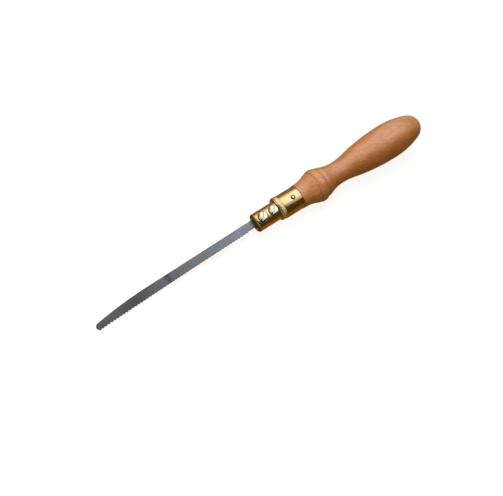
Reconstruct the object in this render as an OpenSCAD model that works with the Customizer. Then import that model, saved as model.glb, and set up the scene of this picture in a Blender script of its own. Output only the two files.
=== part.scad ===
// Keyhole saw of the pad type. A narrow blade is clamped by two screws in a brass chuck on the end of a
// turned wooden handle, and slides back into the handle's bore when the screws are slack.
// The tool's axis is X, with the blade's tip towards -X and the butt of the handle towards +X.
// The screw heads point to +Z and the blade's teeth to -Y.
// The origin is on the axis, where the ferrule's front end meets the chuck's collar.

/* [Blade] */
// Length of blade that shows in front of the chuck
blade_reach = 129.1; // [90:0.1:150]
// Length of plain tang behind the front face of the chuck
tang_len = 30; // [26:1:40]
// Thickness of the blade
blade_t = 1; // [0.6:0.1:1.4]
// Width at the heel, from the back to the tooth points
heel_w = 6.6; // [5:0.1:7]
// How far the middle of the heel lies from the tool's axis, towards the back
blade_offset = 0.35; // [0:0.05:0.5]
// How much lower the tooth line lies at the tip than at the heel
tooth_flare = 1.2; // [0:0.1:2]
// How far the worn tooth line hollows between heel and tip
tooth_hollow = 0.3; // [0:0.05:0.5]
// Length at the tip over which the back sweeps down
clip_len = 42; // [20:1:60]
// Width across the rounded tip
tip_w = 5; // [3:0.1:5.5]
// Distance between tooth points
tooth_pitch = 2.3; // [1.6:0.1:4]
// Depth of a tooth
tooth_depth = 0.7; // [0.5:0.1:1.5]
// Plain edge between the chuck and the first tooth
heel_gap = 6.7; // [0.5:0.1:8]
// Angle by which the blade leans towards its teeth in the chuck
blade_cant = 0.8; // [0:0.1:1.5]
// How far the blade slides back into the handle
stow_travel = 60; // [20:1:70]

/* [Chuck] */
// Diameter of the nose
nose_d = 14.3; // [13:0.1:16]
// Length of the nose in front of the collar
nose_len = 19.5; // [17:0.1:26]
// Rounding on the front edge of the nose
nose_round = 1.6; // [0.4:0.1:1.8]
// Length of the collar that butts on the ferrule
collar_len = 3.8; // [2:0.1:6]
// Rounding on the front edge of the collar
collar_round = 1.5; // [0.4:0.1:1.8]
// Rounding on the back edge of the collar, up to the ferrule's wall
collar_back_round = 0.5; // [0.2:0.1:1]
// Length of the spigot inside the ferrule
spigot_len = 6; // [4:0.1:8]
// Height of the blade's passage above its bed
passage_h = 3.2; // [2:0.1:4]

/* [Clamp screws] */
// Distance of the front screw from the front face of the chuck
front_screw_at = 6.5; // [5.6:0.1:8]
// Distance between the two screws
screw_spacing = 9.2; // [8:0.1:11]
// Outside diameter of the thread
screw_d = 4; // [3:0.1:5]
// Pitch of the thread
thread_pitch = 0.7; // [0.5:0.05:1]
// Depth of the thread
thread_depth = 0.42; // [0.3:0.02:0.6]
// Diameter of the head
head_d = 7; // [6:0.1:7.6]
// Height of the head
head_h = 2.4; // [1.6:0.1:3]
// Rounding on the top edge of the head
head_round = 0.5; // [0.2:0.1:0.8]
// Depth of the head's seat below the top of the nose
seat_depth = 1.15; // [0.9:0.05:1.6]
// Width of the screwdriver slot
slot_w = 1.1; // [0.8:0.1:1.6]
// Depth of the screwdriver slot
slot_depth = 1.1; // [0.6:0.1:1.4]
// Direction of the front screw's slot, from the tool's axis
front_slot_angle = 57; // [0:1:180]
// Direction of the rear screw's slot, from the tool's axis
rear_slot_angle = 54; // [0:1:180]

/* [Ferrule] */
// Outside diameter of the ferrule and the collar
ferrule_d = 18.2; // [17:0.1:21]
// Length of the ferrule
ferrule_len = 15.7; // [13:0.1:22]
// Wall of the ferrule
ferrule_wall = 1; // [0.6:0.1:1.4]
// Rounding on the ends of the ferrule
ferrule_round = 0.4; // [0.1:0.05:0.5]
// Distance of the pin from the front end of the ferrule
pin_at = 9.3; // [8.5:0.1:11]
// Diameter of the pin
pin_d = 1.8; // [1.2:0.1:2.2]
// Diameter of the countersink around the pin
countersink_d = 3.3; // [2.8:0.1:4]
// Depth of the countersink
countersink_depth = 0.5; // [0.3:0.05:0.6]
// Height of the dome on the pin's head
pin_dome = 0.2; // [0.05:0.05:0.25]
// Length of the pin, from the surface of the ferrule
pin_len = 3.4; // [2:0.1:4]

/* [Handle] */
// Length of wood behind the ferrule
handle_len = 118.3; // [110:0.1:140]
// Diameter where the wood meets the ferrule
shoulder_d = 18.9; // [17.5:0.1:22]
// Length of straight wood between the ferrule and the flare
shoulder_run = 1.3; // [0.5:0.1:4]
// Distance of the front groove from the ferrule
bead_at = 14.1; // [12:0.1:20]
// Length of the bead between its two grooves
bead_len = 7; // [4:0.1:10]
// Diameter at the crest of the bead
bead_d = 26.1; // [25.5:0.1:30]
// Diameter where the flare reaches the bead
flare_end_d = 24.3; // [22:0.1:25.2]
// Radius of the roll with which the flare ends
flare_roll = 2.5; // [1:0.5:12]
// Diameter where the cove leaves the bead
cove_start_d = 23.5; // [22:0.1:25.2]
// Radius of the roll with which the cove starts
cove_roll = 8; // [2:0.5:16]
// Depth of the two turned grooves
groove_depth = 0.3; // [0.1:0.05:0.6]
// Width of the two turned grooves
groove_w = 1; // [0.3:0.1:1.4]
// Distance of the waist from the ferrule
waist_at = 37; // [30:0.1:44]
// Diameter of the waist
waist_d = 17.5; // [17:0.1:20]
// Radius of the curve at the waist
waist_curve = 53; // [30:1:90]
// Distance of the widest point from the ferrule
swell_at = 87.4; // [75:0.1:92]
// Diameter at the widest point
swell_d = 28.1; // [24:0.1:32]
// Radius of the round butt
butt_r = 10.6; // [7:0.1:12]

/* [Clearances] */
// Gap between a tube and what is driven into it
press_gap = 0.03; // [0.01:0.01:0.05]
// Gap around the thread of a screw in its hole
thread_gap = 0.06; // [0.02:0.01:0.1]
// Gap between the head of a screw and the wall of its seat
seat_gap = 0.2; // [0.1:0.05:0.4]
// Gap under the blade, and between the blade and the tip of a screw
blade_gap = 0.05; // [0.02:0.01:0.1]
// Least gap between the edges of the blade and the passage in the chuck
edge_gap = 0.15; // [0.1:0.05:0.4]
// Least gap between the tang and the bore of the handle
bore_gap = 0.5; // [0.3:0.1:1]
// Room left in the bore behind the tang when the blade is slid right back
bore_end_gap = 4; // [1:0.5:8]

/* [Hidden] */
$fn = 96;

// Past the face of a cut, so that no skin is left on it
past = 1;
// Steps in a small rounded edge, and in a long sweep of the handle or blade
edge_steps = 8;
sweep_steps = 14;

// Chuck and ferrule along the axis
nose_r = nose_d / 2;
ferrule_r = ferrule_d / 2;
ferrule_bore_r = ferrule_r - ferrule_wall;
inner_r = ferrule_bore_r - press_gap;
chuck_front = -collar_len - nose_len;
collar_back_r = min(collar_back_round, ferrule_wall);
front_screw_x = chuck_front + front_screw_at;
rear_screw_x = front_screw_x + screw_spacing;
screw_r = screw_d / 2;
screw_seat_z = nose_r - seat_depth;
screw_len = screw_seat_z - blade_t / 2 - blade_gap;

// Blade edges in the blade's own frame, whose origin is at the chuck's front face
back_y = blade_offset + heel_w / 2;
heel_y = blade_offset - heel_w / 2;
tip_r = tip_w / 2;
tip_x = tip_r - blade_reach;
tip_y = tooth_line(-tip_x) + tip_r;
clip_x = clip_len - blade_reach;
clip_drop = back_y - tip_y;
clip_run = clip_x - tip_x;
clip_r = (clip_run ^ 2 + clip_drop ^ 2 - tip_r ^ 2) / (2 * (clip_drop - tip_r));
clip_turn = atan2(clip_run, clip_r - clip_drop);
tooth_count = floor((blade_reach - tip_r - heel_gap) / tooth_pitch);
tang_y = heel_y + tooth_depth;

// Room that the leaning blade needs in the chuck and, slid right back, in the handle
bed_z = -blade_t / 2 - blade_gap;
back_in_chuck = back_y + (spigot_len - chuck_front) * tan(blade_cant);
teeth_in_chuck = max(-heel_y, -tooth_line(stow_travel));
passage_r = norm([max(back_in_chuck, teeth_in_chuck), bed_z]) + edge_gap;
stowed_tail = tang_len + stow_travel;
back_in_handle = back_y + stowed_tail * tan(blade_cant);
handle_bore_r = norm([back_in_handle, blade_t / 2]) + bore_gap;
handle_bore_end = chuck_front + stowed_tail + bore_end_gap;

// Handle along the axis
shoulder_x = ferrule_len;
shoulder_r = shoulder_d / 2;
front_groove_x = shoulder_x + bead_at;
rear_groove_x = front_groove_x + bead_len;
flare_end_r = flare_end_d / 2;
cove_start_r = cove_start_d / 2;
waist_x = shoulder_x + waist_at;
waist_r = waist_d / 2;
swell_x = shoulder_x + swell_at;
swell_r = swell_d / 2;
butt_x = shoulder_x + handle_len;

// Height of the line through the tooth points at a distance in front of the chuck
function tooth_line(reach) =
    let (share = reach / blade_reach) heel_y - tooth_flare * share + 4 * tooth_hollow * share * (1 - share);

// Points along an arc, with the angles in degrees
function arc(centre, radius, from, to, steps, first = 0) = [
    for (i = [first:steps])
        let (a = from + (to - from) * i / steps) centre + radius * [cos(a), sin(a)]
];

// Points along an arc that starts where the outline already is
function next_arc(centre, radius, from, to, steps) = arc(centre, radius, from, to, steps, 1);

// Radius of the arc that leaves the axis direction and rises by a height over a run
function sweep_radius(run, rise) = (run ^ 2 + rise ^ 2) / (2 * rise);

// Solid turned about the tool's axis from an outline of points along the axis and away from it
module turned(outline) {
    rotate([0, 90, 0]) rotate_extrude() polygon([for (p = outline) [p[1], p[0]]]);
}

// Cylinder along the tool's axis
module along_axis(r, from, to) {
    translate([from, 0, 0]) rotate([0, 90, 0]) cylinder(r = r, h = to - from);
}

// Outline of the wood behind the ferrule: flare, bead between two grooves, cove, waist, swell and butt
function handle_outline() =
    let (
        half_groove = groove_w / 2,
        flare_x = shoulder_x + shoulder_run,
        flare_end_x = front_groove_x - half_groove,
        flare_run = flare_end_x - flare_x,
        flare_curve = sweep_radius(flare_run, flare_end_r - shoulder_r) - flare_roll,
        flare_turn = asin(flare_run / (flare_curve + flare_roll)),
        bead_from = [front_groove_x + half_groove, flare_end_r],
        bead_to = [rear_groove_x - half_groove, cove_start_r],
        cove_x = rear_groove_x + half_groove,
        cove_run = waist_x - cove_x,
        cove_curve = sweep_radius(cove_run, cove_start_r - waist_r) - cove_roll,
        cove_turn = asin(cove_run / (cove_curve + cove_roll)),
        swell_curve = sweep_radius(swell_x - waist_x, swell_r - waist_r) - waist_curve,
        swell_turn = asin((swell_x - waist_x) / (waist_curve + swell_curve)),
        back_run = butt_x - swell_x,
        back_curve = (swell_r ^ 2 + back_run ^ 2 - 2 * butt_r * back_run) / (2 * (swell_r - butt_r)),
        back_turn = asin((back_run - butt_r) / (back_curve - butt_r))
    )
    concat(
        [[shoulder_x, shoulder_r]],
        arc([flare_x, shoulder_r + flare_curve], flare_curve, -90, flare_turn - 90, sweep_steps),
        next_arc([flare_end_x, flare_end_r - flare_roll], flare_roll, 90 + flare_turn, 90, edge_steps),
        [[front_groove_x, flare_end_r - groove_depth]],
        bead_points(bead_from, bead_to),
        [[rear_groove_x, cove_start_r - groove_depth]],
        arc([cove_x, cove_start_r - cove_roll], cove_roll, 90, 90 - cove_turn, edge_steps),
        next_arc([waist_x, waist_r + cove_curve], cove_curve, -90 - cove_turn, -90, sweep_steps),
        next_arc([waist_x, waist_r + waist_curve], waist_curve, -90, swell_turn - 90, sweep_steps),
        next_arc([swell_x, swell_r - swell_curve], swell_curve, 90 + swell_turn, 90, sweep_steps),
        next_arc([swell_x, swell_r - back_curve], back_curve, 90, 90 - back_turn, sweep_steps),
        next_arc([butt_x - butt_r, 0], butt_r, 90 - back_turn, 0, sweep_steps)
    );

// Round bead between two points, which swells smoothly to its crest
function bead_points(from, to) = [
    for (i = [0:sweep_steps])
        let (a = 180 * i / sweep_steps, foot = from + (to - from) * (1 - cos(a)) / 2)
        [foot[0], foot[1] + (bead_d / 2 - (from[1] + to[1]) / 2) * sin(a)]
];

// Wooden handle with its tenon inside the ferrule and a blind bore for the blade
module handle() {
    color("peru") difference() {
        turned(concat(
            [[spigot_len, 0], [spigot_len, inner_r], [shoulder_x, inner_r]],
            handle_outline()
        ));
        along_axis(handle_bore_r, spigot_len - past, handle_bore_end);
        pin_hole(pin_d / 2 + press_gap);
    }
}

// Hole down from the top of the ferrule for its pin
module pin_hole(r) {
    translate([pin_at, 0, ferrule_r - pin_len - press_gap]) cylinder(r = r, h = pin_len + past);
}

// Brass tube with rounded ends and a countersink for its pin
module ferrule() {
    color("gold") difference() {
        turned(concat(
            [[0, ferrule_bore_r]],
            arc([ferrule_round, ferrule_r - ferrule_round], ferrule_round, 180, 90, edge_steps),
            arc([ferrule_len - ferrule_round, ferrule_r - ferrule_round], ferrule_round, 90, 0, edge_steps),
            [[ferrule_len, ferrule_bore_r]]
        ));
        pin_hole(pin_d / 2 + press_gap);
        countersink(press_gap);
    }
}

// Cone from the pin's own radius up to the countersink's rim, carried on past the ferrule's surface
module countersink(gap) {
    foot_r = pin_d / 2 + gap;
    widening = countersink_d / 2 - pin_d / 2;
    translate([pin_at, 0, ferrule_r - countersink_depth])
        cylinder(r1 = foot_r, r2 = foot_r + 2 * widening, h = 2 * countersink_depth);
}

// Pin with a domed head that fills the lower half of the countersink and stays below the ferrule's surface
module ferrule_pin() {
    shank_r = pin_d / 2;
    head_r = (shank_r + countersink_d / 2) / 2;
    head_rim_z = ferrule_r - countersink_depth / 2;
    dome_r = sweep_radius(head_r, pin_dome);
    color("goldenrod") translate([pin_at, 0, 0]) rotate_extrude() polygon(concat(
        [
            [0, ferrule_r - pin_len],
            [shank_r, ferrule_r - pin_len],
            [shank_r, ferrule_r - countersink_depth]
        ],
        arc([0, head_rim_z + pin_dome - dome_r], dome_r, 90 - asin(head_r / dome_r), 90, edge_steps)
    ));
}

// Passage for the blade: a bore with a flat bed under the blade and a flat roof
module passage() {
    length = spigot_len - chuck_front + 2 * past;
    intersection() {
        along_axis(passage_r, chuck_front - past, spigot_len + past);
        translate([chuck_front - past, -passage_r, bed_z]) cube([length, 2 * passage_r, passage_h]);
    }
}

// Brass chuck: nose with a rounded front, rounded collar and the spigot inside the ferrule
module chuck() {
    color("gold") difference() {
        turned(concat(
            [[chuck_front, 0]],
            arc([chuck_front + nose_round, nose_r - nose_round], nose_round, 180, 90, edge_steps),
            [[-collar_len, nose_r]],
            arc([collar_round - collar_len, ferrule_r - collar_round], collar_round, 180, 90, edge_steps),
            arc([-collar_back_r, ferrule_r - collar_back_r], collar_back_r, 90, 0, edge_steps),
            [[0, inner_r], [spigot_len, inner_r], [spigot_len, 0]]
        ));
        passage();
        screw_hole(front_screw_x);
        screw_hole(rear_screw_x);
    }
}

// Threaded hole into the passage, with a round seat for the screw's head
module screw_hole(x) {
    translate([x, 0, 0]) cylinder(r = screw_r + thread_gap, h = nose_r + past);
    translate([x, 0, screw_seat_z]) cylinder(r = head_d / 2 + seat_gap, h = ferrule_r);
}

// Slotted cheese-head screw at the origin of its seat, with ring grooves for its thread
module clamp_screw(slot_angle) {
    head_r = head_d / 2;
    root_r = screw_r - thread_depth;
    turns = floor(screw_len / thread_pitch) - 1;
    color("khaki") difference() {
        rotate_extrude() polygon(concat(
            [[0, -screw_len], [root_r, -screw_len]],
            [
                for (i = [0:turns - 1], side = [0, 1])
                    [side == 0 ? root_r : screw_r, -screw_len + (i + side / 2 + 0.5) * thread_pitch]
            ],
            [[root_r, -screw_len + (turns + 0.5) * thread_pitch], [root_r, 0], [head_r, 0]],
            arc([head_r - head_round, head_h - head_round], head_round, 0, 90, edge_steps),
            [[0, head_h]]
        ));
        rotate([0, 0, slot_angle]) translate([-head_d, -slot_w / 2, head_h - slot_depth])
            cube([2 * head_d, slot_w, slot_depth + past]);
    }
}

module front_screw() {
    translate([front_screw_x, 0, screw_seat_z]) clamp_screw(front_slot_angle);
}

module rear_screw() {
    translate([rear_screw_x, 0, screw_seat_z]) clamp_screw(rear_slot_angle);
}

// Outline of the blade: tang, back, swept clip, round tip and the row of teeth
function blade_outline() = concat(
    [[tang_len, tang_y], [tang_len, back_y]],
    arc([clip_x, back_y - clip_r], clip_r, 90, 90 + clip_turn, sweep_steps),
    next_arc([tip_x, tip_y], tip_r, 90 + clip_turn, 270, sweep_steps),
    [
        for (i = [tooth_count - 1:-1:0], side = [0, 1])
            let (reach = heel_gap + (i + (side == 0 ? 1 : 0.5)) * tooth_pitch)
            [-reach, tooth_line(reach) + (side == 0 ? tooth_depth : 0)]
    ],
    [[-heel_gap, tang_y]]
);

// Steel blade, leaning a little in the chuck
module blade() {
    color("slategray") translate([chuck_front, 0, -blade_t / 2]) rotate([0, 0, blade_cant])
        linear_extrude(blade_t) polygon(blade_outline());
}

handle();
ferrule();
ferrule_pin();
chuck();
front_screw();
rear_screw();
blade();
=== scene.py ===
# Looks of a keyhole saw: a turned wooden handle, a brass ferrule and chuck, two clamp screws and a blade.
# The tool's axis is X, with the blade's tip towards -X. The screw heads point to +Z and the teeth to -Y.
import math
from collections import namedtuple

import bmesh
import bpy
from mathutils import Matrix, Vector


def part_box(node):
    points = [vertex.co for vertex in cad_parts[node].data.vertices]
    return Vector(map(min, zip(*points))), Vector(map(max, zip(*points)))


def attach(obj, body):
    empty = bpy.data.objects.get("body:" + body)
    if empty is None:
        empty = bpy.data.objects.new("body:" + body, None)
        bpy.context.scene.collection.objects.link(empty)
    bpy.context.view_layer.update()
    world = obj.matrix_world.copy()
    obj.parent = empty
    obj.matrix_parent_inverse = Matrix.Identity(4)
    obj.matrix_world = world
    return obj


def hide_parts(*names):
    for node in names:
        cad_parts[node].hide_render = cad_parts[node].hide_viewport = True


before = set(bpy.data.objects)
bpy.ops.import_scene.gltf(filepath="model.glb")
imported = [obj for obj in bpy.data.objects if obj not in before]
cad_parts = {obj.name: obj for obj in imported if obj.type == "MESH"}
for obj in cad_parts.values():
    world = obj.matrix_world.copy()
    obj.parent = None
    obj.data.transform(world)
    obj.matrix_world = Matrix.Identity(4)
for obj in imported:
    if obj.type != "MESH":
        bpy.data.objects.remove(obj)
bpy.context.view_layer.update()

MM = 0.001
FULL_TURN = 2 * math.pi
HALF_TURN = math.pi
QUARTER_TURN = math.pi / 2

# Places that the frame gives
chuck_low, chuck_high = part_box("chuck")
ferrule_low, ferrule_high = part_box("ferrule")
pin_low, pin_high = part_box("ferrule_pin")
handle_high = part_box("handle")[1]
blade_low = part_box("blade")[0]

CHUCK_FRONT = chuck_low.x
SPIGOT_END = chuck_high.x
FERRULE_FRONT = ferrule_low.x
FERRULE_END = ferrule_high.x
FERRULE_R = ferrule_high.y
PIN_X = (pin_low.x + pin_high.x) / 2
BUTT_X = handle_high.x
SWELL_R = handle_high.y

# Handle
SHOULDER_R = 9.45 * MM
FLARE_X = FERRULE_END + 1.3 * MM
FRONT_GROOVE_X = FERRULE_END + 14.1 * MM
REAR_GROOVE_X = FRONT_GROOVE_X + 7 * MM
BEAD_R = 13.05 * MM
FLARE_END_R = 12.15 * MM
FLARE_ROLL = 2.5 * MM
COVE_START_R = 11.75 * MM
COVE_ROLL = 8 * MM
GROOVE_DEPTH = 0.3 * MM
GROOVE_HALF = 0.5 * MM
WAIST_X = FERRULE_END + 37 * MM
WAIST_R = 8.75 * MM
WAIST_CURVE = 53 * MM
SWELL_X = FERRULE_END + 87.4 * MM
BUTT_R = 10.6 * MM
HANDLE_BORE_R = 5.4 * MM
HANDLE_BORE_END = 70.7 * MM

# Ferrule and its pin
FERRULE_WALL = 1 * MM
FERRULE_ROUND = 0.3 * MM
PRESS_GAP = 0.03 * MM
INNER_R = FERRULE_R - FERRULE_WALL - PRESS_GAP
COUNTERSINK_R = 1.68 * MM
COUNTERSINK_DEPTH = 0.7 * MM
PIN_R = 0.9 * MM
PIN_HEAD_R = 1.27 * MM

# Chuck
NOSE_R = 7.15 * MM
NOSE_ROUND = 1.6 * MM
COLLAR_FRONT = -3.8 * MM
COLLAR_ROUND = 1.3 * MM
COLLAR_SHIFT = 0.42 * MM
REEDS_X = COLLAR_FRONT + COLLAR_ROUND
REEDS = 3
REED_DEPTH = 0.4 * MM
NOTCH_SHARE = 0.4
PASSAGE_R = 4.24 * MM
PASSAGE_FLOOR = -0.55 * MM
PASSAGE_ROOF = 2.65 * MM
MOUTH_CHAMFER = 0.35 * MM

# Clamp screws
SCREW_R = 2 * MM
SCREW_HOLE_GAP = 0.06 * MM
SEAT_GAP = 0.45 * MM
HEAD_H = 2.4 * MM
HEAD_ROUND = 0.8 * MM
SLOT_W = 1.1 * MM
SLOT_DEPTH = 1.1 * MM
SLOT_ANGLE = {"front_screw": 57, "rear_screw": 54}
THREAD_PITCH = 0.7 * MM
THREAD_DEPTH = 0.42 * MM

# Blade, in its own frame with the origin at the chuck's front face
BLADE_REACH = CHUCK_FRONT - blade_low.x
TANG_LEN = 30 * MM
BLADE_T = 1 * MM
BLADE_BEVEL = 0.08 * MM
HEEL_W = 6.6 * MM
BLADE_OFFSET = 0.35 * MM
BACK_Y = BLADE_OFFSET + HEEL_W / 2
HEEL_Y = BLADE_OFFSET - HEEL_W / 2
TOOTH_FLARE = 1.2 * MM
TOOTH_HOLLOW = 0.3 * MM
CLIP_LEN = 42 * MM
TIP_R = 2.5 * MM
TOOTH_PITCH = 2.3 * MM
TOOTH_DEPTH = 0.7 * MM
TOOTH_WEAR = 0.2 * MM
HEEL_GAP = 6.7 * MM
BLADE_CANT = math.radians(0.8)

# Fineness of the meshes. Points closer than the weld are one point.
ROUND_SEGMENTS = 144
NOTCHES = ROUND_SEGMENTS // 2
SMALL_SEGMENTS = 64
SWEEP_STEPS = 48
EDGE_STEPS = 8
THREAD_STEPS = 12
SMOOTH_ANGLE = math.radians(32)
BEVEL_ANGLE = math.radians(60)
WELD = MM / 10000

# Wood
GRAIN_TURN = math.radians(-27)
PITH_Y = -34 * MM
PITH_Z = 21 * MM
RING_GAP = 2.3 * MM
RING_WANDER = 6 * MM
WOOD_DEEP = (0.455, 0.184, 0.047)
WOOD_WARM = (0.565, 0.24, 0.068)
# Paler colour for a painted sheen over the handle's front end
WOOD_PAINTED_SHEEN = (0.62, 0.31, 0.13)
LATE_WOOD = (0.30, 0.10, 0.026)
STREAK = (0.36, 0.125, 0.032)
FIBRE = (0.33, 0.112, 0.03)
FLECK = (0.20, 0.066, 0.018)
PORE = (0.25, 0.082, 0.022)
BETWEEN_PORES = (0.70, 0.34, 0.14)
# Dark colour for grime at the ferrule's joint and painted shade in the grooves
WOOD_GRIME_AND_SHADE = (0.14, 0.045, 0.014)

# Brass
BRASS_CLEAN = (0.64, 0.47, 0.225)
BRASS_TARNISH = (0.50, 0.345, 0.13)
NOSE_BRASS = (0.75, 0.48, 0.19)
# Pale colour for a painted highlight on the collar's reeds
REED_PAINTED_HIGHLIGHT = (0.97, 0.81, 0.43)
SCREW_CLEAN = (0.62, 0.57, 0.41)
SCREW_TARNISH = (0.50, 0.44, 0.29)
# Dark colour for grime at the joint and painted shade in corners, gaps, recesses and holes
BRASS_GRIME_AND_SHADE = (0.035, 0.02, 0.006)
BRASS_ROUGH = 0.18
SCREW_ROUGH = 0.15
# Soft width at the edges of the painted reed highlight and the painted ring shade
MASK_BLUR = 0.2 * MM

# Painted dark reflections in spots on each screw head, in mm from its axis
Spot = namedtuple("Spot", "along across full_within none_past strength")
PAINTED_HEAD_SPOTS = (
    Spot(-2.2, -1.7, 0.5, 1.0, 1.0),
    Spot(0.6, -3.9, 1.1, 1.7, 1.0),
    Spot(-3.0, 2.3, 1.0, 1.9, 0.7),
)

# Steel, with the stain and a stretch of painted darker reflection at places along the tool's axis
STEEL_DARK = (0.205, 0.213, 0.233)
STEEL_LIGHT = (0.245, 0.254, 0.276)
GROUND_LINE = (0.15, 0.154, 0.165)
STEEL_SPECK = (0.13, 0.125, 0.13)
PURPLE_TINT = (0.225, 0.195, 0.24)
GREEN_TINT = (0.19, 0.215, 0.21)
STAIN = (0.085, 0.08, 0.075)
STAIN_X = -95.4 * MM
STAIN_HALF = 3.2 * MM
# Colour, centre and half length of a stretch of the blade painted darker, a painted reflection
PAINTED_DARK_STRETCH = (0.12, 0.12, 0.125)
DARK_STRETCH_X = -120 * MM
DARK_STRETCH_HALF = 21 * MM
DARK_EDGE = (0.085, 0.068, 0.055)

# Camera, fitted to the photograph's outline
PHOTO_WIDTH = 503
FOCAL_PIXELS = 500
SENSOR_WIDTH = 36
NEAR_CLIP = 0.01
CAMERA_RIGHT = Vector((0.8199, -0.5625, 0.1070))
CAMERA_BACK = Vector((-0.2362, -0.1621, 0.9581))
CAMERA_PLACE = Vector((-0.11886, -0.07104, 0.33976))

# Floor, lamp and world
FLOOR_REACH = 0.9
FLOOR_GAP = 0.05 * MM
FLOOR_TONE = 0.18
FLOOR_GLOW = 0.91
FLOOR_NEAR = 0.25
FLOOR_FAR = 0.6
KEY_PLACE = (-0.04, 0.33, 0.68)
KEY_SIZE = 0.6
KEY_POWER = 6.2
KEY_COLOUR = (1.0, 0.99, 0.97)
FILL_COLOUR = (1.0, 0.58, 0.15)
FILL_LEVEL = 0.27

# Cards and panels that only reflections see
CARD_LIFT = 2 * FLOOR_GAP
BENCH_COLOUR = (0.315, 0.195, 0.085)
BENCH_X = (-0.06, 0.24)
BENCH_Y = (0.0, 0.3)
BENCH_BACK_Z = (-0.04, 0.06)
NEAR_COLOUR = (0.30, 0.15, 0.03)
NEAR_Y = (-0.1, 0.0)
SHADE_COLOUR = (0.11, 0.05, 0.008)
SHADE_X = (-0.05, 0.88)
CARD_COLOUR = (0.085, 0.046, 0.006)
FRONT_CARD_X = (-0.18, 1.3)
FRONT_CARD_Y = -0.34
FRONT_CARD_Z = (-0.08, 0.5)
END_CARD_X = 0.85
END_CARD_Y = (FRONT_CARD_Y, 0.6)
END_CARD_Z = (-0.08, 0.35)
SIDE_COLOUR = (1.9, 1.9, 1.8)
SIDE_X = -0.45
SIDE_Y = (-0.25, 0.4)
SIDE_Z = (-0.05, 0.3)
ROOF_Z = 0.62
ROOF_CORNER = (-0.4, -0.9)
ROOF_EDGE = [(0.75, -0.9), (0.26, -0.40), (0.19, -0.28), (0.18, -0.12), (-0.06, 0.13), (-0.4, 0.5)]
PANEL_COLOUR = (1.8, 2.05, 2.35)
PANEL_X = (0.12, 0.8)
PANEL_FRONT_YZ = (-0.11, 0.61)
PANEL_BACK_YZ = (0.62, 0.36)

Screw = namedtuple("Screw", "x head_r tip_z seat_z top_z")


def screw_place(node):
    """Place along the axis, head radius, and levels of the tip, the seat and the top of a clamp screw."""
    low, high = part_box(node)
    return Screw((low.x + high.x) / 2, (high.x - low.x) / 2, low.z, high.z - HEAD_H, high.z)


SCREWS = {node: screw_place(node) for node in SLOT_ANGLE}


# Outlines: points along the axis and away from it

def arc(along, away, radius, start, end, steps=EDGE_STEPS):
    """Points on an arc, with the angles in radians."""
    angles = [start + (end - start) * i / steps for i in range(steps + 1)]
    return [(along + radius * math.cos(a), away + radius * math.sin(a)) for a in angles]


def sweep_radius(run, rise):
    """Radius of the arc that leaves the axis direction and rises by a height over a run."""
    return (run ** 2 + rise ** 2) / (2 * rise)


def bead_points():
    """Round bead between the two grooves of the handle."""
    start = FRONT_GROOVE_X + GROOVE_HALF
    end = REAR_GROOVE_X - GROOVE_HALF
    crest = BEAD_R - (FLARE_END_R + COVE_START_R) / 2
    points = []
    for i in range(SWEEP_STEPS + 1):
        a = HALF_TURN * i / SWEEP_STEPS
        share = (1 - math.cos(a)) / 2
        foot = FLARE_END_R + (COVE_START_R - FLARE_END_R) * share
        points.append((start + (end - start) * share, foot + crest * math.sin(a)))
    return points


def groove_points(x, edge):
    """Rounded bottom of a turned groove at a place along the axis, below the radius of its edges."""
    shares = [i / EDGE_STEPS for i in range(1, EDGE_STEPS)]
    return [(x + GROOVE_HALF * (2 * t - 1), edge - GROOVE_DEPTH * math.sin(HALF_TURN * t)) for t in shares]


def handle_outline():
    """Wood behind the ferrule: flare, bead between two grooves, cove, waist, swell and butt."""
    flare_end = FRONT_GROOVE_X - GROOVE_HALF
    flare_run = flare_end - FLARE_X
    flare = sweep_radius(flare_run, FLARE_END_R - SHOULDER_R) - FLARE_ROLL
    flare_turn = math.asin(flare_run / (flare + FLARE_ROLL))
    cove_x = REAR_GROOVE_X + GROOVE_HALF
    cove_run = WAIST_X - cove_x
    cove = sweep_radius(cove_run, COVE_START_R - WAIST_R) - COVE_ROLL
    cove_turn = math.asin(cove_run / (cove + COVE_ROLL))
    swell = sweep_radius(SWELL_X - WAIST_X, SWELL_R - WAIST_R) - WAIST_CURVE
    swell_turn = math.asin((SWELL_X - WAIST_X) / (WAIST_CURVE + swell))
    back_run = BUTT_X - SWELL_X
    back = (SWELL_R ** 2 + back_run ** 2 - 2 * BUTT_R * back_run) / (2 * (SWELL_R - BUTT_R))
    back_turn = math.asin((back_run - BUTT_R) / (back - BUTT_R))
    up, down = QUARTER_TURN, -QUARTER_TURN
    return (
        [(FERRULE_END, SHOULDER_R)]
        + arc(FLARE_X, SHOULDER_R + flare, flare, down, down + flare_turn, SWEEP_STEPS)
        + arc(flare_end, FLARE_END_R - FLARE_ROLL, FLARE_ROLL, up + flare_turn, up, SWEEP_STEPS)[1:]
        + groove_points(FRONT_GROOVE_X, FLARE_END_R)
        + bead_points()
        + groove_points(REAR_GROOVE_X, COVE_START_R)
        + arc(cove_x, COVE_START_R - COVE_ROLL, COVE_ROLL, up, up - cove_turn, SWEEP_STEPS)
        + arc(WAIST_X, WAIST_R + cove, cove, down - cove_turn, down, SWEEP_STEPS)[1:]
        + arc(WAIST_X, WAIST_R + WAIST_CURVE, WAIST_CURVE, down, down + swell_turn, SWEEP_STEPS)[1:]
        + arc(SWELL_X, SWELL_R - swell, swell, up + swell_turn, up, SWEEP_STEPS)[1:]
        + arc(SWELL_X, SWELL_R - back, back, up, up - back_turn, SWEEP_STEPS)[1:]
        + arc(BUTT_X - BUTT_R, 0, BUTT_R, up - back_turn, 0, SWEEP_STEPS)[1:]
    )


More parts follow.
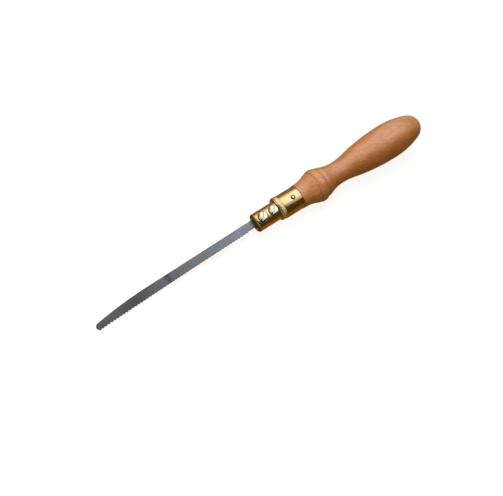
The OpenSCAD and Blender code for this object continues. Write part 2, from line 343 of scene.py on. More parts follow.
def reed_points(low_x, high_x):
    """Fine round reeds turned on the chuck's collar, side by side."""
    pitch = (high_x - low_x) / REEDS
    foot = FERRULE_R - REED_DEPTH
    points = []
    for i in range(REEDS):
        for j in range(EDGE_STEPS + 1):
            a = HALF_TURN * j / EDGE_STEPS
            points.append((low_x + pitch * (i + (1 - math.cos(a)) / 2), foot + REED_DEPTH * math.sin(a)))
    return list(dict.fromkeys(points))


def tooth_line(reach):
    """Height of the line through the tooth points at a distance in front of the chuck."""
    share = reach / BLADE_REACH
    return HEEL_Y - TOOTH_FLARE * share + 4 * TOOTH_HOLLOW * share * (1 - share)


def tooth_wear(reach):
    """How far the tooth points are worn down and the gullets filled, which is most along the middle."""
    return TOOTH_WEAR * math.sin(HALF_TURN * reach / BLADE_REACH) ** 2


def blade_outline():
    """Tang, back, swept clip, round tip and the row of teeth."""
    tang_y = HEEL_Y + TOOTH_DEPTH
    tip_x = TIP_R - BLADE_REACH
    tip_y = tooth_line(-tip_x) + TIP_R
    clip_x = CLIP_LEN - BLADE_REACH
    drop = BACK_Y - tip_y
    run = clip_x - tip_x
    clip_r = (run ** 2 + drop ** 2 - TIP_R ** 2) / (2 * (drop - TIP_R))
    clip_turn = math.atan2(run, clip_r - drop)
    points = [(TANG_LEN, tang_y), (TANG_LEN, BACK_Y)]
    up = QUARTER_TURN
    points += arc(clip_x, BACK_Y - clip_r, clip_r, up, up + clip_turn, SWEEP_STEPS)
    points += arc(tip_x, tip_y, TIP_R, up + clip_turn, 3 * QUARTER_TURN, SWEEP_STEPS)[1:]
    teeth = math.floor((BLADE_REACH - TIP_R - HEEL_GAP) / TOOTH_PITCH)
    for i in reversed(range(teeth)):
        root = HEEL_GAP + (i + 1) * TOOTH_PITCH
        point = root - TOOTH_PITCH / 2
        points.append((-root, tooth_line(root) + TOOTH_DEPTH - tooth_wear(root)))
        points.append((-point, tooth_line(point) + tooth_wear(point)))
    points.append((-HEEL_GAP, tang_y))
    return points


# Meshes

# Keeps a turned shape's axis along X
ALONG_X = Matrix.Identity(4)

# Turns a flat outline into the plane of Y and Z, with its levels along X
LEVELS_ALONG_X = Matrix(((0, 0, 1, 0), (1, 0, 0, 0), (0, 1, 0, 0), (0, 0, 0, 1)))


def along_z(x, z):
    """Places a turned shape with its axis along +Z, from a point on the tool's plane of symmetry."""
    return Matrix.Translation((x, 0, z)) @ Matrix.Rotation(-QUARTER_TURN, 4, "Y")


def add_mesh(name, built):
    """Object from a finished bmesh, with its faces turned outwards."""
    bmesh.ops.recalc_face_normals(built, faces=built.faces)
    mesh = bpy.data.meshes.new(name)
    built.to_mesh(mesh)
    built.free()
    piece = bpy.data.objects.new(name, mesh)
    bpy.context.scene.collection.objects.link(piece)
    return piece


def turned(name, outline, segments, place=ALONG_X, ripple=None):
    """Solid turned about an axis. An outline that starts off the axis goes round to its start again.

    A ripple is a change of radius that depends on the place along the axis, the radius and the angle."""
    built = bmesh.new()
    rings = []
    for along, away in outline:
        if away < WELD:
            rings.append([built.verts.new(place @ Vector((along, 0, 0)))])
            continue
        ring = []
        for i in range(segments):
            a = FULL_TURN * i / segments
            r = away + (ripple(along, away, a) if ripple else 0)
            ring.append(built.verts.new(place @ Vector((along, r * math.cos(a), r * math.sin(a)))))
        rings.append(ring)
    pairs = list(zip(rings, rings[1:]))
    if len(rings[0]) > 1:
        pairs.append((rings[-1], rings[0]))
    for first, second in pairs:
        for i in range(segments):
            j = (i + 1) % segments
            ways = ((first, i), (first, j), (second, j), (second, i))
            corners = [ring[k % len(ring)] for ring, k in ways]
            built.faces.new(list(dict.fromkeys(corners)))
    return add_mesh(name, built)


def prism(name, outline, low, high, place, top_outline=None):
    """Solid between two flat outlines with as many points, at a low and a high level."""
    built = bmesh.new()
    bottom = [built.verts.new(place @ Vector((x, y, low))) for x, y in outline]
    top = [built.verts.new(place @ Vector((x, y, high))) for x, y in top_outline or outline]
    built.faces.new(bottom)
    built.faces.new(top)
    for i in range(len(outline)):
        j = (i + 1) % len(outline)
        built.faces.new((bottom[i], bottom[j], top[j], top[i]))
    return add_mesh(name, built)


def apply_modifiers(piece):
    """Keeps the shape that the piece's modifiers give it."""
    graph = bpy.context.evaluated_depsgraph_get()
    shaped = bpy.data.meshes.new_from_object(piece.evaluated_get(graph))
    plain = piece.data
    piece.modifiers.clear()
    piece.data = shaped
    bpy.data.meshes.remove(plain)


def carve(piece, *cutters):
    """Takes the cutters out of the piece, and joins the points that then coincide."""
    for cutter in cutters:
        cut = piece.modifiers.new(cutter.name, "BOOLEAN")
        cut.operation = "DIFFERENCE"
        cut.solver = "EXACT"
        cut.object = cutter
        apply_modifiers(piece)
        mesh = cutter.data
        bpy.data.objects.remove(cutter)
        bpy.data.meshes.remove(mesh)
    built = bmesh.new()
    built.from_mesh(piece.data)
    bmesh.ops.remove_doubles(built, verts=built.verts, dist=WELD)
    built.to_mesh(piece.data)
    built.free()


def dress(piece, node, body, material):
    """Shades a finished piece, smooth but for its sharp edges, and stands it in for its CAD node."""
    for face in piece.data.polygons:
        face.use_smooth = True
    piece.data.set_sharp_from_angle(angle=SMOOTH_ANGLE)
    piece.data.materials.clear()
    piece.data.materials.append(material)
    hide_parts(node)
    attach(piece, body)


# Materials

class Surface:
    """A material under way, with short names for the nodes that it uses. Places are in metres."""

    def __init__(self, name):
        self.material = bpy.data.materials.new(name)
        self.material.use_nodes = True
        self.tree = self.material.node_tree
        self.shader = self.tree.nodes["Principled BSDF"]
        self.place = self.node("ShaderNodeTexCoord").outputs["Object"]

    def feed(self, socket, value):
        """Links a socket to another one, or sets its value."""
        if isinstance(value, bpy.types.NodeSocket):
            self.tree.links.new(value, socket)
        else:
            socket.default_value = value

    def node(self, kind, inputs=None, **settings):
        made = self.tree.nodes.new(kind)
        for name, value in settings.items():
            setattr(made, name, value)
        for key, value in (inputs or {}).items():
            self.feed(made.inputs[key], value)
        return made

    def set(self, **inputs):
        """Feeds the shader's sockets, whose names have _ for each space here."""
        for name, value in inputs.items():
            self.feed(self.shader.inputs[name.replace("_", " ")], value)

    def math(self, operation, first, second=0.0):
        return self.node("ShaderNodeMath", {0: first, 1: second}, operation=operation).outputs[0]

    def axis(self, name):
        return self.node("ShaderNodeSeparateXYZ", {0: self.place}).outputs[name]

    def distance(self, first, second):
        """Distance that two offsets at right angles make together."""
        squares = [self.math("MULTIPLY", offset, offset) for offset in (first, second)]
        return self.math("SQRT", self.math("ADD", *squares))

    def noise(self, along, across, up=None, detail=3.0, rough=0.55, seed=(0.0, 0.0, 0.0), turn=0.0):
        """Noise with features of about these sizes in mm along X, Y and Z, perhaps turned about Z."""
        size = (along * MM, across * MM, (up or across) * MM)
        where = {"Vector": self.place, "Location": seed, "Rotation": (0.0, 0.0, turn), "Scale": size}
        spot = self.node("ShaderNodeMapping", where, vector_type="TEXTURE").outputs[0]
        inputs = {"Vector": spot, "Scale": 1.0, "Detail": detail, "Roughness": rough}
        return self.node("ShaderNodeTexNoise", inputs).outputs["Fac"]

    def span(self, value, low, high, out_low=0.0, out_high=1.0):
        """A value from low to high, smoothly remapped to another range."""
        made = self.node("ShaderNodeMapRange", interpolation_type="SMOOTHSTEP")
        for index, number in enumerate((value, low, high, out_low, out_high)):
            self.feed(made.inputs[index], number)
        return made.outputs[0]

    def band(self, x, width):
        """1 at a place along the axis, and 0 further from it than a width."""
        away = self.math("ABSOLUTE", self.math("SUBTRACT", self.axis("X"), x))
        return self.span(away, 0.0, width, 1.0, 0.0)

    def from_axis(self, x, near, far, at_near, at_far, y=0.0):
        """A value that changes with the distance from an upright axis, on the side of the screw heads."""
        along = self.math("SUBTRACT", self.axis("X"), x)
        across = self.math("SUBTRACT", self.axis("Y"), y)
        value = self.span(self.distance(along, across), near, far, at_near, at_far)
        return self.math("MULTIPLY", value, self.span(self.axis("Z"), 0.0, MM))

    def ramp(self, value, *stops):
        """A grey level from stops, each of which is a value and its level."""
        made = self.node("ShaderNodeValToRGB", {0: value})
        elements = made.color_ramp.elements
        while len(elements) < len(stops):
            elements.new(0.5)
        for element, (at, level) in zip(elements, stops):
            element.position = at
            element.color = (level, level, level, 1.0)
        return made.outputs[0]

    def mix(self, share, first, second):
        """A share of the second colour over the first."""
        made = self.node("ShaderNodeMix", data_type="RGBA")
        self.feed(made.inputs[0], share)
        for index, colour in ((6, first), (7, second)):
            self.feed(made.inputs[index], (*colour, 1.0) if isinstance(colour, tuple) else colour)
        return made.outputs[2]

    def bump(self, height, depth, strength):
        relief = {"Height": height, "Distance": depth, "Strength": strength}
        self.set(Normal=self.node("ShaderNodeBump", relief).outputs[0])


def wood():
    """Waxed hardwood, with faint growth rings, and fibres, pores and short dark flecks along the grain."""
    s = Surface("wood")
    from_y = s.math("SUBTRACT", s.axis("Y"), PITH_Y)
    from_z = s.math("SUBTRACT", s.axis("Z"), PITH_Z)
    wander = s.math("MULTIPLY", s.noise(55, 9, detail=2.0), RING_WANDER)
    depth = s.math("ADD", s.distance(from_y, from_z), wander)
    rings = s.math("FRACT", s.math("DIVIDE", depth, RING_GAP))
    late = s.ramp(rings, (0.0, 0.2), (0.12, 0.0), (0.7, 0.35), (0.96, 1.0))
    mottle = s.noise(14, 7, seed=(0.2, 0.5, 0.4))
    streaks = s.noise(38, 2.6, seed=(0.1, 0.4, 0.8), turn=GRAIN_TURN)
    fibres = s.noise(9, 0.8, rough=0.6, turn=GRAIN_TURN)
    dashes = s.noise(3.6, 0.7, detail=1.0, seed=(0.7, 0.3, 0.1), turn=GRAIN_TURN)
    flecks = s.span(dashes, 0.58, 0.72)
    pores = s.noise(3.2, 0.8, rough=0.65, seed=(0.6, 0.2, 0.9), turn=GRAIN_TURN)
    # Painted sheen: the flare and bead, to just past the rear groove, are mixed towards a paler colour
    front_sheen = s.span(s.axis("X"), REAR_GROOVE_X - MM, REAR_GROOVE_X + 8 * MM, 0.6, 0.0)
    colour = s.mix(s.span(mottle, 0.3, 0.7), WOOD_DEEP, WOOD_WARM)
    colour = s.mix(front_sheen, colour, WOOD_PAINTED_SHEEN)
    colour = s.mix(s.math("MULTIPLY", late, 0.2), colour, LATE_WOOD)
    colour = s.mix(s.span(streaks, 0.35, 0.7, 0.0, 0.35), colour, STREAK)
    colour = s.mix(s.span(fibres, 0.35, 0.7, 0.0, 0.5), colour, FIBRE)
    colour = s.mix(s.math("MULTIPLY", flecks, 0.55), colour, FLECK)
    colour = s.mix(s.span(pores, 0.5, 0.75, 0.0, 0.5), colour, PORE)
    colour = s.mix(s.span(pores, 0.3, 0.5, 0.4, 0.0), colour, BETWEEN_PORES)
    # Painted shade in the two grooves, and grime along the joint with the ferrule
    grooves = s.math("MAXIMUM", s.band(FRONT_GROOVE_X, 1.3 * MM), s.band(REAR_GROOVE_X, 1.3 * MM))
    joint = s.math("MULTIPLY", s.band(FERRULE_END, 0.8 * MM), 0.55)
    joint_grime_and_groove_shade = s.math("MAXIMUM", s.math("MULTIPLY", grooves, 0.28), joint)
    colour = s.mix(joint_grime_and_groove_shade, colour, WOOD_GRIME_AND_SHADE)
    s.set(Base_Color=colour, Roughness=s.span(fibres, 0.25, 0.8, 0.40, 0.52))
    s.set(Specular_IOR_Level=0.9, Coat_Weight=0.9, Coat_Roughness=0.38)
    grain = s.math("SUBTRACT", s.math("MULTIPLY", fibres, 0.5), s.math("MULTIPLY", flecks, 0.5))
    s.bump(grain, 0.08 * MM, 0.6)
    return s.material


def brass_surface(name, clean, tarnish, rough):
    """Turned brass with lathe lines and soft tarnish. Gives the surface, and its colour for later
    darkening.
    """
    s = Surface(name)
    s.set(Metallic=1.0)
    lathe = s.noise(0.3, 40, detail=2.0)
    cloud = s.noise(5, 5, detail=4.0, rough=0.6)
    specks = s.span(s.noise(0.7, 0.7, detail=2.0, seed=(0.9, 0.1, 0.3)), 0.62, 0.76)
    colour = s.mix(s.span(cloud, 0.35, 0.75, 0.0, 0.5), clean, tarnish)
    colour = s.mix(s.math("MULTIPLY", specks, 0.12), colour, tarnish)
    s.set(Roughness=s.span(cloud, 0.3, 0.75, rough, rough + 0.12))
    s.bump(lathe, 0.004 * MM, 0.25)
    return s, colour


def darken_with_grime_and_shade(s, colour, *masks):
    """Dark grime and painted shade over the colour, where any of the masks is high."""
    worst = masks[0]
    for mask in masks[1:]:
        worst = s.math("MAXIMUM", worst, mask)
    patches = s.noise(1.1, 1.1, seed=(0.3, 0.6, 0.9))
    share = s.math("MULTIPLY", worst, s.span(patches, 0.3, 0.6, 0.75, 1.0))
    s.set(Base_Color=s.mix(share, colour, BRASS_GRIME_AND_SHADE))


def front_shade(s):
    """Painted shade on the front of the nose, around the mouth of the blade's passage, and inside the
    passage.
    """
    away = s.distance(s.axis("Y"), s.axis("Z"))
    past_mouth = s.span(away, PASSAGE_R + MOUTH_CHAMFER, PASSAGE_R + 2 * MOUTH_CHAMFER)
    front = s.span(s.axis("X"), CHUCK_FRONT + 0.5 * MM, CHUCK_FRONT + 1.6 * MM, 0.96, 0.0)
    inside = s.span(away, PASSAGE_R, PASSAGE_R + 0.1 * MM, 0.9, 0.0)
    return s.math("MAXIMUM", s.math("MULTIPLY", front, past_mouth), inside)


def pin_shade(s):
    """Painted shade: a dark ring in the pin's countersink, a little wider on one side."""
    shift = 0.2 * MM
    off_head = s.from_axis(PIN_X + shift, PIN_HEAD_R - 0.5 * MM, PIN_HEAD_R - 0.2 * MM, 0.0, 0.97, shift)
    in_sink = s.from_axis(PIN_X, COUNTERSINK_R, COUNTERSINK_R + 0.25 * MM, 1.0, 0.0)
    return s.math("MULTIPLY", off_head, in_sink)


def brass():
    """Ferrule, pin and chuck: a warm nose, a painted highlight on the reeds, grime at the joint with the
    wood, and painted shade in corners, around holes, in the passage and beside the rear screw.
    """
    s, colour = brass_surface("brass", BRASS_CLEAN, BRASS_TARNISH, BRASS_ROUGH)
    x = s.axis("X")
    collar_edge = COLLAR_FRONT - 0.3 * MM
    colour = s.mix(s.span(x, collar_edge, COLLAR_FRONT, 0.5, 0.0), colour, NOSE_BRASS)
    # Painted highlight: the collar's reeds are mixed towards pale brass
    before_end = s.span(x, -MASK_BLUR, 0.0, 1.0, 0.0)
    reeds = s.math("MULTIPLY", s.span(x, REEDS_X - MASK_BLUR, REEDS_X), before_end)
    colour = s.mix(s.math("MULTIPLY", reeds, 0.88), colour, REED_PAINTED_HIGHLIGHT)
    # Painted shade in the corner where the nose meets the collar
    corner_shade = s.math("MULTIPLY", s.band(COLLAR_FRONT, 0.6 * MM), 0.4)
    joint = s.math("MULTIPLY", s.band(FERRULE_END, 0.4 * MM), 0.7)
    # Painted shade in the gap around each screw head, at the edge of its seat
    seat_shade = []
    for screw in SCREWS.values():
        edge = screw.head_r + SEAT_GAP
        seat_shade.append(s.from_axis(screw.x, edge - 0.1 * MM, edge + 0.1 * MM, 0.95, 0.0))
    # Painted shade on the collar's front ring beside the rear screw
    rear = SCREWS["rear_screw"]
    near_rear = s.from_axis(rear.x, rear.head_r + MM, rear.head_r + 3.2 * MM, 0.8, 0.0, -2.5 * MM)
    on_collar = s.span(x, collar_edge, COLLAR_FRONT)
    on_ring = s.math("MULTIPLY", on_collar, s.span(x, REEDS_X - MASK_BLUR, REEDS_X, 1.0, 0.0))
    ring_shade = s.math("MULTIPLY", near_rear, on_ring)
    darken_with_grime_and_shade(s, colour, corner_shade, joint, front_shade(s), pin_shade(s), ring_shade, *seat_shade)
    return s.material


def screw_brass():
    """Pale clamp screws, with painted shade in the slot and down the head's sides, and painted dark
    reflections in spots at its edge.
    """
    s, colour = brass_surface("screw_brass", SCREW_CLEAN, SCREW_TARNISH, SCREW_ROUGH)
    top_z = SCREWS["front_screw"].top_z
    # Painted shade: lightly in the slot, and darker down the head's sides
    deep = s.span(s.axis("Z"), top_z - 0.45 * MM, top_z - 0.08 * MM, 1.0, 0.0)
    sides = []
    spots = []
    for screw in SCREWS.values():
        sides.append(s.from_axis(screw.x, screw.head_r - 0.4 * MM, screw.head_r - 0.15 * MM, 0.0, 1.0))
        # Painted dark reflections in spots at each head's edge
        for spot in PAINTED_HEAD_SPOTS:
            x = screw.x + spot.along * MM
            near, far = spot.full_within * MM, spot.none_past * MM
            spots.append(s.from_axis(x, near, far, spot.strength, 0.0, spot.across * MM))
    off_both = s.span(s.math("MULTIPLY", *sides), 0.0, 1.0, 0.3, 0.97)
    darken_with_grime_and_shade(s, colour, s.math("MULTIPLY", deep, off_both), *spots)
    return s.material


def steel_edges(s):
    """1 along the blade's back and along its teeth, which follow the blade's cant and flare."""
    reach = s.math("SUBTRACT", s.axis("X"), CHUCK_FRONT)
    across = s.math("SUBTRACT", s.axis("Y"), s.math("MULTIPLY", reach, math.tan(BLADE_CANT)))
    back = s.span(across, BACK_Y - 0.5 * MM, BACK_Y)
    flare = s.math("MULTIPLY", reach, TOOTH_FLARE / BLADE_REACH)
    teeth = s.span(s.math("SUBTRACT", across, flare), HEEL_Y, HEEL_Y + 1.1 * MM, 1.0, 0.0)
    return s.math("MAXIMUM", back, teeth)


def steel():
    """Ground saw steel: fine lines along the blade, faint tints, a stain, a stretch of painted darker
    reflection and dark edges.
    """
    s = Surface("blade_steel")
    s.set(Metallic=1.0)
    lines = s.noise(28, 0.12, 0.5)
    cloud = s.noise(16, 5, detail=4.0, rough=0.6)
    specks = s.span(s.noise(1.6, 0.9, seed=(0.4, 0.8, 0.2)), 0.64, 0.78)
    tint = s.noise(9, 4, detail=2.0, seed=(0.8, 0.3, 0.5))
    blotch = s.noise(1.6, 1.6, seed=(0.5, 0.1, 0.7))
    stain = s.math("MULTIPLY", s.band(STAIN_X, STAIN_HALF), s.span(blotch, 0.35, 0.55, 0.25, 0.85))
    colour = s.mix(s.span(cloud, 0.3, 0.7), STEEL_DARK, STEEL_LIGHT)
    colour = s.mix(s.span(lines, 0.35, 0.7, 0.0, 0.35), colour, GROUND_LINE)
    colour = s.mix(s.math("MULTIPLY", specks, 0.4), colour, STEEL_SPECK)
    colour = s.mix(s.span(tint, 0.52, 0.7, 0.0, 0.5), colour, PURPLE_TINT)
    colour = s.mix(s.span(tint, 0.3, 0.48, 0.5, 0.0), colour, GREEN_TINT)
    colour = s.mix(stain, colour, STAIN)
    # Painted reflection: a darker stretch along the blade
    colour = s.mix(s.math("MULTIPLY", s.band(DARK_STRETCH_X, DARK_STRETCH_HALF), 0.62), colour, PAINTED_DARK_STRETCH)
    colour = s.mix(s.math("MULTIPLY", steel_edges(s), 0.5), colour, DARK_EDGE)
    s.set(Base_Color=colour, Roughness=s.span(lines, 0.3, 0.7, 0.36, 0.46))
    s.bump(lines, 0.01 * MM, 0.5)
    return s.material


# Pieces

def make_handle(material):
    outline = [(HANDLE_BORE_END, 0), (HANDLE_BORE_END, HANDLE_BORE_R), (SPIGOT_END, HANDLE_BORE_R)]
    outline += [(SPIGOT_END, INNER_R), (FERRULE_END, INNER_R)]
    piece = turned("wooden_handle", outline + handle_outline(), ROUND_SEGMENTS)
    dress(piece, "handle", "handle", material)


def make_ferrule(material):
    bore_r = FERRULE_R - FERRULE_WALL
    rim = FERRULE_R - FERRULE_ROUND
    outline = [(FERRULE_FRONT, bore_r)]
    outline += arc(FERRULE_FRONT + FERRULE_ROUND, rim, FERRULE_ROUND, HALF_TURN, QUARTER_TURN)
    outline += arc(FERRULE_END - FERRULE_ROUND, rim, FERRULE_ROUND, QUARTER_TURN, 0)
    outline += [(FERRULE_END, bore_r)]
    piece = turned("brass_ferrule", outline, ROUND_SEGMENTS)
    hole_r = PIN_R + PRESS_GAP
    deep = bore_r - MM
    widening = COUNTERSINK_R - hole_r
    hole = [(deep, 0), (deep, hole_r), (FERRULE_R - COUNTERSINK_DEPTH, hole_r)]
    hole += [(FERRULE_R + COUNTERSINK_DEPTH, hole_r + 2 * widening), (FERRULE_R + COUNTERSINK_DEPTH, 0)]
    carve(piece, turned("pin_hole", hole, SMALL_SEGMENTS, along_z(PIN_X, 0)))
    dress(piece, "ferrule", "handle", material)


def make_pin(material):
    rim_z = FERRULE_R - COUNTERSINK_DEPTH / 2
    dome_r = sweep_radius(PIN_HEAD_R, pin_high.z - rim_z)
    dome_turn = math.asin(PIN_HEAD_R / dome_r)
    outline = [(pin_low.z, 0), (pin_low.z, PIN_R), (FERRULE_R - COUNTERSINK_DEPTH, PIN_R)]
    outline += arc(pin_high.z - dome_r, 0, dome_r, dome_turn, 0)
    piece = turned("domed_pin", outline, SMALL_SEGMENTS, along_z(PIN_X, 0))
    dress(piece, "ferrule_pin", "handle", material)


def passage_outline(grown=0.0):
    """Section of the blade's passage: a bore with a flat floor and roof, perhaps larger all round."""
    radius = PASSAGE_R + grown
    low = math.asin((PASSAGE_FLOOR - grown) / radius)
    high = math.asin((PASSAGE_ROOF + grown) / radius)
    right = arc(0, 0, radius, low, high, SWEEP_STEPS)
    return right + arc(0, 0, radius, HALF_TURN - high, HALF_TURN - low, SWEEP_STEPS)


def passage_cutter():
    return prism("passage", passage_outline(), CHUCK_FRONT - MM, SPIGOT_END + MM, LEVELS_ALONG_X)


def mouth_cutter():
    """Chamfer around the front end of the passage."""
    low, high = CHUCK_FRONT - MOUTH_CHAMFER, CHUCK_FRONT + MOUTH_CHAMFER
    wide = passage_outline(2 * MOUTH_CHAMFER)
    return prism("mouth", wide, low, high, LEVELS_ALONG_X, passage_outline())


def screw_hole_cutter(node):
    """Hole for the thread, with the head's seat above it."""
    screw = SCREWS[node]
    hole_r = SCREW_R + SCREW_HOLE_GAP
    seat_r = screw.head_r + SEAT_GAP
    above = screw.top_z + MM
    outline = [(0, 0), (0, hole_r), (screw.seat_z, hole_r)]
    outline += [(screw.seat_z, seat_r), (above, seat_r), (above, 0)]
    return turned(node + "_hole", outline, SMALL_SEGMENTS, along_z(screw.x, 0))


def collar_form(along, away, angle):
    """The collar lies off the axis, towards the blade's back, and fine notches cut its reeds into beads."""
    foot = NOSE_R if along < -WELD else INNER_R
    if along > WELD or away < foot + WELD:
        return 0
    height = away - FERRULE_R + REED_DEPTH if along > REEDS_X + WELD else 0
    notch = NOTCH_SHARE * height * (1 - math.cos(NOTCHES * angle)) / 2
    return COLLAR_SHIFT * math.cos(angle) - notch


def make_chuck(material):
    outline = [(CHUCK_FRONT, 0)]
    outline += arc(CHUCK_FRONT + NOSE_ROUND, NOSE_R - NOSE_ROUND, NOSE_ROUND, HALF_TURN, QUARTER_TURN)
    outline += [(COLLAR_FRONT, NOSE_R)]
    outline += arc(REEDS_X, FERRULE_R - COLLAR_ROUND, COLLAR_ROUND, HALF_TURN, QUARTER_TURN)
    outline += reed_points(REEDS_X, 0)
    outline += [(0, INNER_R), (SPIGOT_END, INNER_R), (SPIGOT_END, 0)]
    piece = turned("brass_chuck", outline, ROUND_SEGMENTS, ripple=collar_form)
    carve(piece, passage_cutter(), mouth_cutter())
    carve(piece, screw_hole_cutter("front_screw"), screw_hole_cutter("rear_screw"))
    dress(piece, "chuck", "handle", material)


def make_screw(node, material):
    screw = SCREWS[node]
    root_r = SCREW_R - THREAD_DEPTH
    length = screw.seat_z - screw.tip_z
    rows = round(THREAD_STEPS * length / THREAD_PITCH)

    def thread(along, away, angle):
        """Height of a right-hand thread over its root, which runs out at both ends of the shank."""
        if away > root_r + WELD:
            return 0
        share = (along / THREAD_PITCH - angle / FULL_TURN) % 1
        ends = min(1, (along + length) / THREAD_PITCH, -along / THREAD_PITCH)
        return THREAD_DEPTH * max(0, ends) * (1 - abs(2 * share - 1))

    outline = [(-length, 0)]
    outline += [(-length * (1 - i / rows), root_r) for i in range(rows + 1)]
    outline += [(0, screw.head_r)]
    outline += arc(HEAD_H - HEAD_ROUND, screw.head_r - HEAD_ROUND, HEAD_ROUND, QUARTER_TURN, 0)
    outline += [(HEAD_H, 0)]
    piece = turned(node + "_slotted", outline, SMALL_SEGMENTS, along_z(screw.x, screw.seat_z), thread)
    half, reach = SLOT_W / 2, 2 * screw.head_r
    slot = [(-reach, -half), (reach, -half), (reach, half), (-reach, half)]
    turn = Matrix.Translation((screw.x, 0, 0)) @ Matrix.Rotation(math.radians(SLOT_ANGLE[node]), 4, "Z")
    carve(piece, prism(node + "_slot", slot, screw.top_z - SLOT_DEPTH, screw.top_z + MM, turn))
    dress(piece, node, node, material)


def make_blade(material):
    place = Matrix.Translation((CHUCK_FRONT, 0, 0)) @ Matrix.Rotation(BLADE_CANT, 4, "Z")
    piece = prism("toothed_blade", blade_outline(), -BLADE_T / 2, BLADE_T / 2, place)
    edge = piece.modifiers.new("edge", "BEVEL")
    edge.width = BLADE_BEVEL
    edge.segments = 1
    edge.limit_method = "ANGLE"
    edge.angle_limit = BEVEL_ANGLE
    apply_modifiers(piece)
    dress(piece, "blade", "blade", material)


# Stage: floor, cards and panels, lamp, world and camera

def seen_rays(tree):
    """1 for camera, glossy and transmission rays, which see the white background."""
    path = tree.nodes.new("ShaderNodeLightPath")
    total = path.outputs["Is Camera Ray"]
    for name in ("Is Glossy Ray", "Is Transmission Ray"):
        added = tree.nodes.new("ShaderNodeMath")
        added.operation = "MAXIMUM"
        tree.links.new(total, added.inputs[0])
        tree.links.new(path.outputs[name], added.inputs[1])
        total = added.outputs[0]
    return total


def glow_material(name, colour):
    """Plain light of its own, which only rays that meet it see."""
    material = bpy.data.materials.new(name)
    material.use_nodes = True
    material.cycles.emission_sampling = "NONE"
    tree = material.node_tree
    tree.nodes.clear()
    glow = tree.nodes.new("ShaderNodeEmission")
    glow.inputs["Color"].default_value = (*colour, 1)
    out = tree.nodes.new("ShaderNodeOutputMaterial")
    tree.links.new(glow.outputs[0], out.inputs[0])
    return material


def floor_material():
    """Pale matt floor that keeps a faint shadow, and glows white where camera and glossy rays see it."""
    material = glow_material("pale_floor", (1, 1, 1))
    tree = material.node_tree
    glow = tree.nodes["Emission"]
    out = tree.nodes["Material Output"]
    spot = tree.nodes.new("ShaderNodeNewGeometry")
    away = tree.nodes.new("ShaderNodeVectorMath")
    away.operation = "LENGTH"
    tree.links.new(spot.outputs["Position"], away.inputs[0])
    rise = tree.nodes.new("ShaderNodeMapRange")
    rise.interpolation_type = "SMOOTHSTEP"
    tree.links.new(away.outputs["Value"], rise.inputs[0])
    for index, number in enumerate((FLOOR_NEAR, FLOOR_FAR, FLOOR_GLOW, 1.0), start=1):
        rise.inputs[index].default_value = number
    level = tree.nodes.new("ShaderNodeMath")
    level.operation = "MULTIPLY"
    tree.links.new(seen_rays(tree), level.inputs[0])
    tree.links.new(rise.outputs[0], level.inputs[1])
    tree.links.new(level.outputs[0], glow.inputs["Strength"])
    matt = tree.nodes.new("ShaderNodeBsdfDiffuse")
    matt.inputs["Color"].default_value = (FLOOR_TONE, FLOOR_TONE, FLOOR_TONE, 1)
    both = tree.nodes.new("ShaderNodeAddShader")
    tree.links.new(matt.outputs[0], both.inputs[0])
    tree.links.new(glow.outputs[0], both.inputs[1])
    tree.links.new(both.outputs[0], out.inputs[0])
    return material


def plane(name, corners, material):
    mesh = bpy.data.meshes.new(name)
    mesh.from_pydata(corners, [], [range(len(corners))])
    mesh.materials.append(material)
    piece = bpy.data.objects.new(name, mesh)
    bpy.context.scene.collection.objects.link(piece)
    return piece


def reflected(name, corners, colour):
    """Card or panel that only reflections see."""
    card = plane(name, corners, glow_material(name, colour))
    card.visible_camera = False
    card.visible_diffuse = False
    card.visible_transmission = False
    card.visible_volume_scatter = False
    card.visible_shadow = False


def floor_level(x):
    """Level of the floor, which touches the bead of the handle and the tip of the blade."""
    bead_x = (FRONT_GROOVE_X + REAR_GROOVE_X) / 2
    rise = (blade_low.z + BEAD_R) / (blade_low.x - bead_x)
    return -BEAD_R + rise * (x - bead_x) - FLOOR_GAP


def corners_of(first_range, second_range):
    """Corners of a rectangle, in order around it."""
    low, high = first_range
    start, end = second_range
    return [(low, start), (high, start), (high, end), (low, end)]


def on_floor(x_range, y_range, lift=0.0):
    return [(x, y, floor_level(x) + lift) for x, y in corners_of(x_range, y_range)]


def facing_y(y, x_range, z_range):
    return [(x, y, z) for x, z in corners_of(x_range, z_range)]


def facing_x(x, y_range, z_range):
    return [(x, y, z) for y, z in corners_of(y_range, z_range)]


def make_stage():
    whole = (-FLOOR_REACH, FLOOR_REACH)
    plane("floor", on_floor(whole, whole), floor_material())
    reflected("bench_card", on_floor(BENCH_X, BENCH_Y, CARD_LIFT), BENCH_COLOUR)
    reflected("near_card", on_floor(BENCH_X, NEAR_Y, CARD_LIFT), NEAR_COLOUR)
    reflected("shade_card", on_floor(SHADE_X, (FRONT_CARD_Y, NEAR_Y[0]), CARD_LIFT), SHADE_COLOUR)
    reflected("back_card", facing_y(BENCH_Y[1], BENCH_X, BENCH_BACK_Z), BENCH_COLOUR)
    reflected("front_card", facing_y(FRONT_CARD_Y, FRONT_CARD_X, FRONT_CARD_Z), CARD_COLOUR)
    reflected("end_card", facing_x(END_CARD_X, END_CARD_Y, END_CARD_Z), BENCH_COLOUR)
    reflected("side_panel", facing_x(SIDE_X, SIDE_Y, SIDE_Z), SIDE_COLOUR)
    reflected("roof_card", [(x, y, ROOF_Z) for x, y in [ROOF_CORNER] + ROOF_EDGE], CARD_COLOUR)
    front_edge = [(x, *PANEL_FRONT_YZ) for x in PANEL_X]
    back_edge = [(x, *PANEL_BACK_YZ) for x in reversed(PANEL_X)]
    reflected("panel", front_edge + back_edge, PANEL_COLOUR)


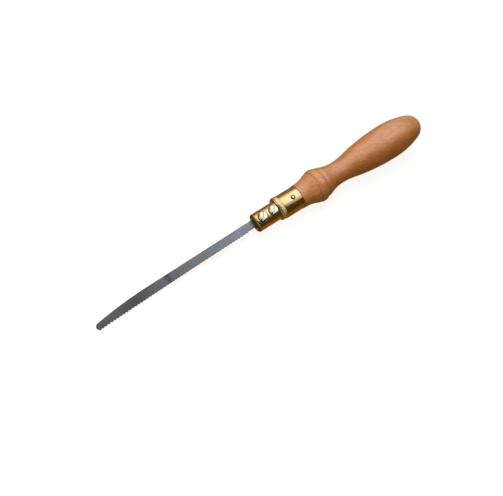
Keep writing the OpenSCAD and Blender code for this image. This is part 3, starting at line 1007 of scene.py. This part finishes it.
def make_lamp():
    lamp = bpy.data.lights.new("key", "AREA")
    lamp.size = KEY_SIZE
    lamp.energy = KEY_POWER
    lamp.color = KEY_COLOUR
    light = bpy.data.objects.new("key", lamp)
    light.location = KEY_PLACE
    light.rotation_euler = (-Vector(KEY_PLACE)).to_track_quat("-Z", "Y").to_euler()
    light.visible_camera = False
    light.visible_glossy = False
    bpy.context.scene.collection.objects.link(light)


def make_world():
    """Warm fill for the object, and plain white for the rays that see the background."""
    world = bpy.data.worlds.new("studio")
    bpy.context.scene.world = world
    world.use_nodes = True
    world.cycles.sampling_method = "NONE"
    tree = world.node_tree
    tree.nodes.clear()
    fill = tree.nodes.new("ShaderNodeBackground")
    fill.inputs["Color"].default_value = (*FILL_COLOUR, 1)
    fill.inputs["Strength"].default_value = FILL_LEVEL
    white = tree.nodes.new("ShaderNodeBackground")
    white.inputs["Color"].default_value = (1, 1, 1, 1)
    mixed = tree.nodes.new("ShaderNodeMixShader")
    tree.links.new(seen_rays(tree), mixed.inputs[0])
    tree.links.new(fill.outputs[0], mixed.inputs[1])
    tree.links.new(white.outputs[0], mixed.inputs[2])
    out = tree.nodes.new("ShaderNodeOutputWorld")
    tree.links.new(mixed.outputs[0], out.inputs[0])


def make_camera():
    data = bpy.data.cameras.new("camera")
    data.sensor_width = SENSOR_WIDTH
    data.lens = SENSOR_WIDTH * FOCAL_PIXELS / PHOTO_WIDTH
    data.clip_start = NEAR_CLIP
    camera = bpy.data.objects.new("camera", data)
    back = CAMERA_BACK.normalized()
    up = back.cross(CAMERA_RIGHT).normalized()
    right = up.cross(back)
    turn = Matrix((right, up, back)).transposed().to_4x4()
    camera.matrix_world = Matrix.Translation(CAMERA_PLACE) @ turn
    bpy.context.scene.collection.objects.link(camera)
    bpy.context.scene.camera = camera


make_camera()
make_handle(wood())
brass_finish = brass()
make_ferrule(brass_finish)
make_pin(brass_finish)
make_chuck(brass_finish)
screw_finish = screw_brass()
make_screw("front_screw", screw_finish)
make_screw("rear_screw", screw_finish)
make_blade(steel())
make_stage()
make_lamp()
make_world()
bpy.context.scene.view_settings.view_transform = "Standard"
